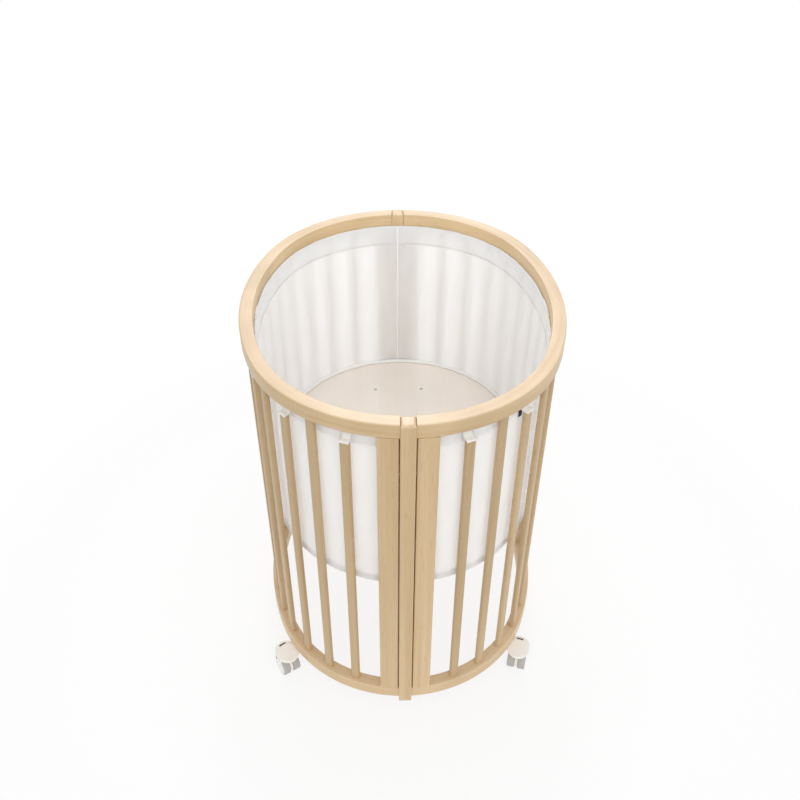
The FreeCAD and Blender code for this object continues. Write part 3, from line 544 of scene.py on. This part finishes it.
def make_straps(name, side, node):
    """Flat bands from the hem over the ends of the short slats."""
    slat_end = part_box("right_front_short_slats")[1][2]
    line = [(0.0290, slat_end + 0.0300), (0.0287, slat_end + 0.0230), (0.0268, slat_end + 0.0150),
            (0.0240, slat_end + 0.0075), (0.0212, slat_end + 0.0022), (0.0195, slat_end + 0.0008),
            (0.0150, slat_end + 0.0003), (0.0105, slat_end + 0.0004), (0.0085, slat_end + 0.0003),
            (0.0077, slat_end - 0.0006), (0.0075, slat_end - 0.0020)]
    parts = []
    for spot in SHORT_SPOTS:
        sway = random.uniform(-0.0015, 0.0015)
        vertices = []
        for inset, height in line:
            for out, rise in ((0, 0), (STRAP_THICK * 0.55, STRAP_THICK * 0.8)):
                for step in range(STRAP_COLUMNS):
                    share = step / (STRAP_COLUMNS - 1) - 0.5
                    crown = 0.0007 * math.cos(math.pi * share)
                    point, outward = oval_point(spot, inset - out, side)
                    tangent = Vector((-outward.y, outward.x, 0))
                    place = point + tangent * (STRAP_WIDTH * share + sway * (inset - 0.008) / 0.021)
                    vertices.append(Vector((place.x, place.y, height + crown + rise)))
        parts.append((vertices, strap_faces(len(line), STRAP_COLUMNS)))
    straps = new_piece(name, *joined(parts), "tape")
    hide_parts(node)
    return straps


def strap_faces(rows, across):
    """Closed band: under layer, upper layer and the rims between them."""
    def index(row, layer, step):
        return (row * 2 + layer) * across + step

    faces = []
    for row in range(rows - 1):
        for step in range(across - 1):
            faces.append((index(row, 0, step), index(row + 1, 0, step),
                          index(row + 1, 0, step + 1), index(row, 0, step + 1)))
            faces.append((index(row, 1, step), index(row, 1, step + 1),
                          index(row + 1, 1, step + 1), index(row + 1, 1, step)))
        for step, flip in ((0, False), (across - 1, True)):
            rim = (index(row, 0, step), index(row, 1, step), index(row + 1, 1, step),
                   index(row + 1, 0, step))
            faces.append(rim[::-1] if flip else rim)
    for row, flip in ((0, True), (rows - 1, False)):
        for step in range(across - 1):
            rim = (index(row, 0, step), index(row, 1, step), index(row, 1, step + 1),
                   index(row, 0, step + 1))
            faces.append(rim[::-1] if flip else rim)
    return faces


def make_tag():
    """Blank folded ribbon sewn to the outside of the liner."""
    low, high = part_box("liner_tag")[0][2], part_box("liner_tag")[1][2]
    width, along = 0.011, 0.254
    line = [(0.0284, high), (0.0276, high - 0.004), (0.0272, high - 0.010), (0.0270, low + 0.002),
            (0.0273, low + 0.0003), (0.0278, low), (0.0281, low + 0.0012), (0.0282, high - 0.010),
            (0.0286, high - 0.003)]
    steps = 6
    vertices = []
    for inset, height in line:
        for step in range(steps):
            share = step / (steps - 1) - 0.5
            curl = 0.0004 * math.cos(2 * math.pi * share)
            point, _ = oval_point(along + width * share, inset - curl * (high - height) / 0.02)
            vertices.append(Vector((point.x, point.y, height)))
    ribbon = new_piece("blank_tag_ribbon", vertices, grid_faces(len(line), steps), "tag")
    thicken = ribbon.modifiers.new("thickness", "SOLIDIFY")
    thicken.thickness = 0.0003
    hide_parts("liner_tag")


def make_liner():
    """Both halves of the liner, each one flat sheet stretched along its half of the oval."""
    stitch_rows = (LINER_TOP - 0.0445, LINER_TOP - 0.0470)
    for word, side in (("left", -1), ("right", 1)):
        wall = make_wall(f"{word}_liner_cloth", side, f"{word}_liner")
        hem = make_hem(f"{word}_liner_hem", side)
        stitches = make_stitches(f"{word}_hem_stitches", side, stitch_rows, LINER_INSET + 0.0016)
        straps = make_straps(f"{word}_strap_bands", side, f"{word}_liner_straps")
    make_seams()


# ---------------------------------------------------------------- caster wheels

# The two faces of a wheel are measured along the axle from the middle of the pair.
WHEEL_RADIUS = 0.025
WHEEL_INNER = 0.004
WHEEL_OUTER = 0.022
AXLE_HOLE = 0.00308


def tyre_profile():
    """Grey tread with rounded shoulders and a shallow groove round its middle."""
    inner, outer, r = WHEEL_INNER, WHEEL_OUTER, WHEEL_RADIUS
    core = r - 0.0045
    middle = (inner + outer) / 2
    return [(inner + 0.0006, core), (inner + 0.0002, r - 0.0028), (inner + 0.0008, r - 0.0011),
            (inner + 0.0022, r - 0.0001), (middle - 0.0012, r), (middle - 0.0006, r - 0.0005),
            (middle + 0.0006, r - 0.0005), (middle + 0.0012, r), (outer - 0.0022, r - 0.0001),
            (outer - 0.0008, r - 0.0011), (outer - 0.0002, r - 0.0028), (outer - 0.0006, core)]


def hub_profile():
    """White hub: a flat inner face, a raised rim outside and a domed middle."""
    inner, outer, r = WHEEL_INNER, WHEEL_OUTER, WHEEL_RADIUS
    edge = r - 0.0044
    return [(inner, AXLE_HOLE), (inner, 0.008), (inner + 0.0012, 0.009), (inner + 0.0012, edge - 0.001),
            (inner + 0.0007, edge), (outer - 0.0006, edge), (outer - 0.0001, edge - 0.0006),
            (outer - 0.0001, edge - 0.0016), (outer - 0.0010, edge - 0.0026),
            (outer - 0.0022, edge - 0.0038), (outer - 0.0022, 0.0105), (outer - 0.0014, 0.0090),
            (outer - 0.0004, 0.0070), (outer - 0.0001, 0.0050),
            (outer - 0.0002, AXLE_HOLE + 0.0006), (outer - 0.0008, AXLE_HOLE)]


def make_wheels():
    """A tread and a hub on each wheel joint, facing outward from the pair."""
    for joint in frame["record"]["behaviour"]["joints"]:
        if not joint["name"].endswith("_wheel_spin"):
            continue
        stem = joint["name"][:-len("_spin")]
        sign = -1 if "_left_wheel" in joint["name"] else 1
        axis = Vector(joint["axis"]) * sign
        centre = Vector(joint["pos_m"])
        tyre = new_piece(f"{stem}_tread", *lathe(tyre_profile(), centre, axis), "tread", joint["child"])
        hub = new_piece(f"{stem}_hub", *lathe(hub_profile(), centre, axis), "white", joint["child"])
        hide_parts(stem)
        for piece in (tyre, hub):
            sharpen(piece)


# ---------------------------------------------------------------- stage, light and camera

CAMERA_SPOT = Vector((-0.0479, -1.5298, TOP + 0.9433))
CAMERA_AZIMUTH = math.radians(-1.23)
CAMERA_ELEVATION = math.radians(39.1)
CAMERA_LENS = 38.6
CAMERA_SHIFT = (0.0066, 0.0131)


def make_camera():
    """The still camera, in front of the crib and above it."""
    data = bpy.data.cameras.new("camera")
    data.lens = CAMERA_LENS
    data.sensor_width = 36
    data.shift_x, data.shift_y = CAMERA_SHIFT
    camera = bpy.data.objects.new("camera", data)
    bpy.context.scene.collection.objects.link(camera)
    back = Vector((math.sin(CAMERA_AZIMUTH) * math.cos(CAMERA_ELEVATION),
                   -math.cos(CAMERA_AZIMUTH) * math.cos(CAMERA_ELEVATION),
                   math.sin(CAMERA_ELEVATION)))
    right = Vector((math.cos(CAMERA_AZIMUTH), math.sin(CAMERA_AZIMUTH), 0))
    up = back.cross(right)
    rotation = Matrix((right, up, back)).transposed()
    camera.matrix_world = Matrix.Translation(CAMERA_SPOT) @ rotation.to_4x4()
    bpy.context.scene.camera = camera


def make_floor():
    """White paper with a painted pool of light: its colour is bright near the crib and darker farther
    out, which shapes the light it bounces onto the crib. It fades to plain white for the camera and
    keeps the shadow.
    """
    bpy.ops.mesh.primitive_plane_add(size=60, location=(0, 0, 0))
    floor = bpy.context.object
    floor.name = "studio_floor"
    shader = Shader("studio_white")
    flat = shader.add("Mapping", {"Vector": shader.place(), "Scale": (1, 1, 0)}).outputs[0]
    reach = shader.add("VectorMath", {0: flat}, operation="LENGTH").outputs["Value"]
    # Painted pool of light: the paper's colour falls from 0.95 near the crib to 0.25 farther out.
    bright = shader.add("MapRange", {"Value": reach, "From Min": 0.8, "From Max": 1.9,
                                     "To Min": 0.95, "To Max": 0.25}).outputs[0]
    tone = shader.add("CombineColor", {0: bright, 1: bright, 2: bright}).outputs[0]
    paper = shader.add("BsdfDiffuse", {"Color": tone})
    glow = shader.add("Emission", {"Color": (1, 1, 1, 1), "Strength": 1.0})
    rays = shader.add("LightPath")
    seen = shader.math("MAXIMUM", rays.outputs["Is Camera Ray"], rays.outputs["Is Glossy Ray"])
    seen = shader.math("MAXIMUM", seen, rays.outputs["Is Transmission Ray"])
    whiter = shader.add("MapRange", {"Value": reach, "From Min": 0.55, "From Max": 1.25,
                                     "To Min": 0.78, "To Max": 1.0}).outputs[0]
    share = shader.math("MULTIPLY", seen, whiter)
    mixed = shader.add("MixShader", {0: share, 1: paper.outputs[0], 2: glow.outputs[0]})
    shader.tree.links.new(mixed.outputs[0], shader.output.inputs[0])
    floor.data.materials.append(shader.material)


def make_world(horizon, zenith):
    """Soft surround, brighter near the horizon than overhead, and plain white where it is seen."""
    world = bpy.data.worlds.new("studio")
    bpy.context.scene.world = world
    world.use_nodes = True
    nodes, links = world.node_tree.nodes, world.node_tree.links
    background = nodes["Background"]
    background.inputs["Color"].default_value = (0.98, 0.99, 1.0, 1)
    spot = nodes.new("ShaderNodeTexCoord")
    parts = nodes.new("ShaderNodeSeparateXYZ")
    links.new(spot.outputs["Generated"], parts.inputs[0])
    fade = nodes.new("ShaderNodeMapRange")
    fade.inputs["To Min"].default_value = horizon
    fade.inputs["To Max"].default_value = zenith
    links.new(parts.outputs[2], fade.inputs["Value"])
    links.new(fade.outputs[0], background.inputs["Strength"])
    rays = nodes.new("ShaderNodeLightPath")
    shown = nodes.new("ShaderNodeBackground")
    shown.inputs["Color"].default_value = (1, 1, 1, 1)
    shown.inputs["Strength"].default_value = 1.0
    mix = nodes.new("ShaderNodeMixShader")
    seen = rays.outputs["Is Camera Ray"]
    for kind in ("Is Glossy Ray", "Is Transmission Ray"):
        either = nodes.new("ShaderNodeMath")
        either.operation = "MAXIMUM"
        links.new(seen, either.inputs[0])
        links.new(rays.outputs[kind], either.inputs[1])
        seen = either.outputs[0]
    links.new(seen, mix.inputs[0])
    links.new(background.outputs[0], mix.inputs[1])
    links.new(shown.outputs[0], mix.inputs[2])
    links.new(mix.outputs[0], nodes["World Output"].inputs[0])


def area_light(name, spot, target, size, power):
    """Square lamp that looks from its spot at a target."""
    data = bpy.data.lights.new(name, "AREA")
    data.shape = "SQUARE"
    data.size = size
    data.energy = power
    light = bpy.data.objects.new(name, data)
    light.location = spot
    light.rotation_euler = (Vector(target) - Vector(spot)).to_track_quat("-Z", "Y").to_euler()
    bpy.context.scene.collection.objects.link(light)


make_camera()
paint_nodes()
make_liner()
make_grommets()
make_tag()
make_wheels()
make_floor()
make_world(horizon=1.28, zenith=0.40)
area_light("front_box", (0.2, -2.1, 3.0), (0, 0, 0.55), size=2.2, power=30)
area_light("back_box", (-0.1, 1.9, 3.1), (0, 0, 0.55), size=2.2, power=22)
area_light("window", (0.05, 2.5, 2.90), (0, -0.12, 0.46), size=0.7, power=16)
bpy.context.scene.view_settings.view_transform = "Standard"
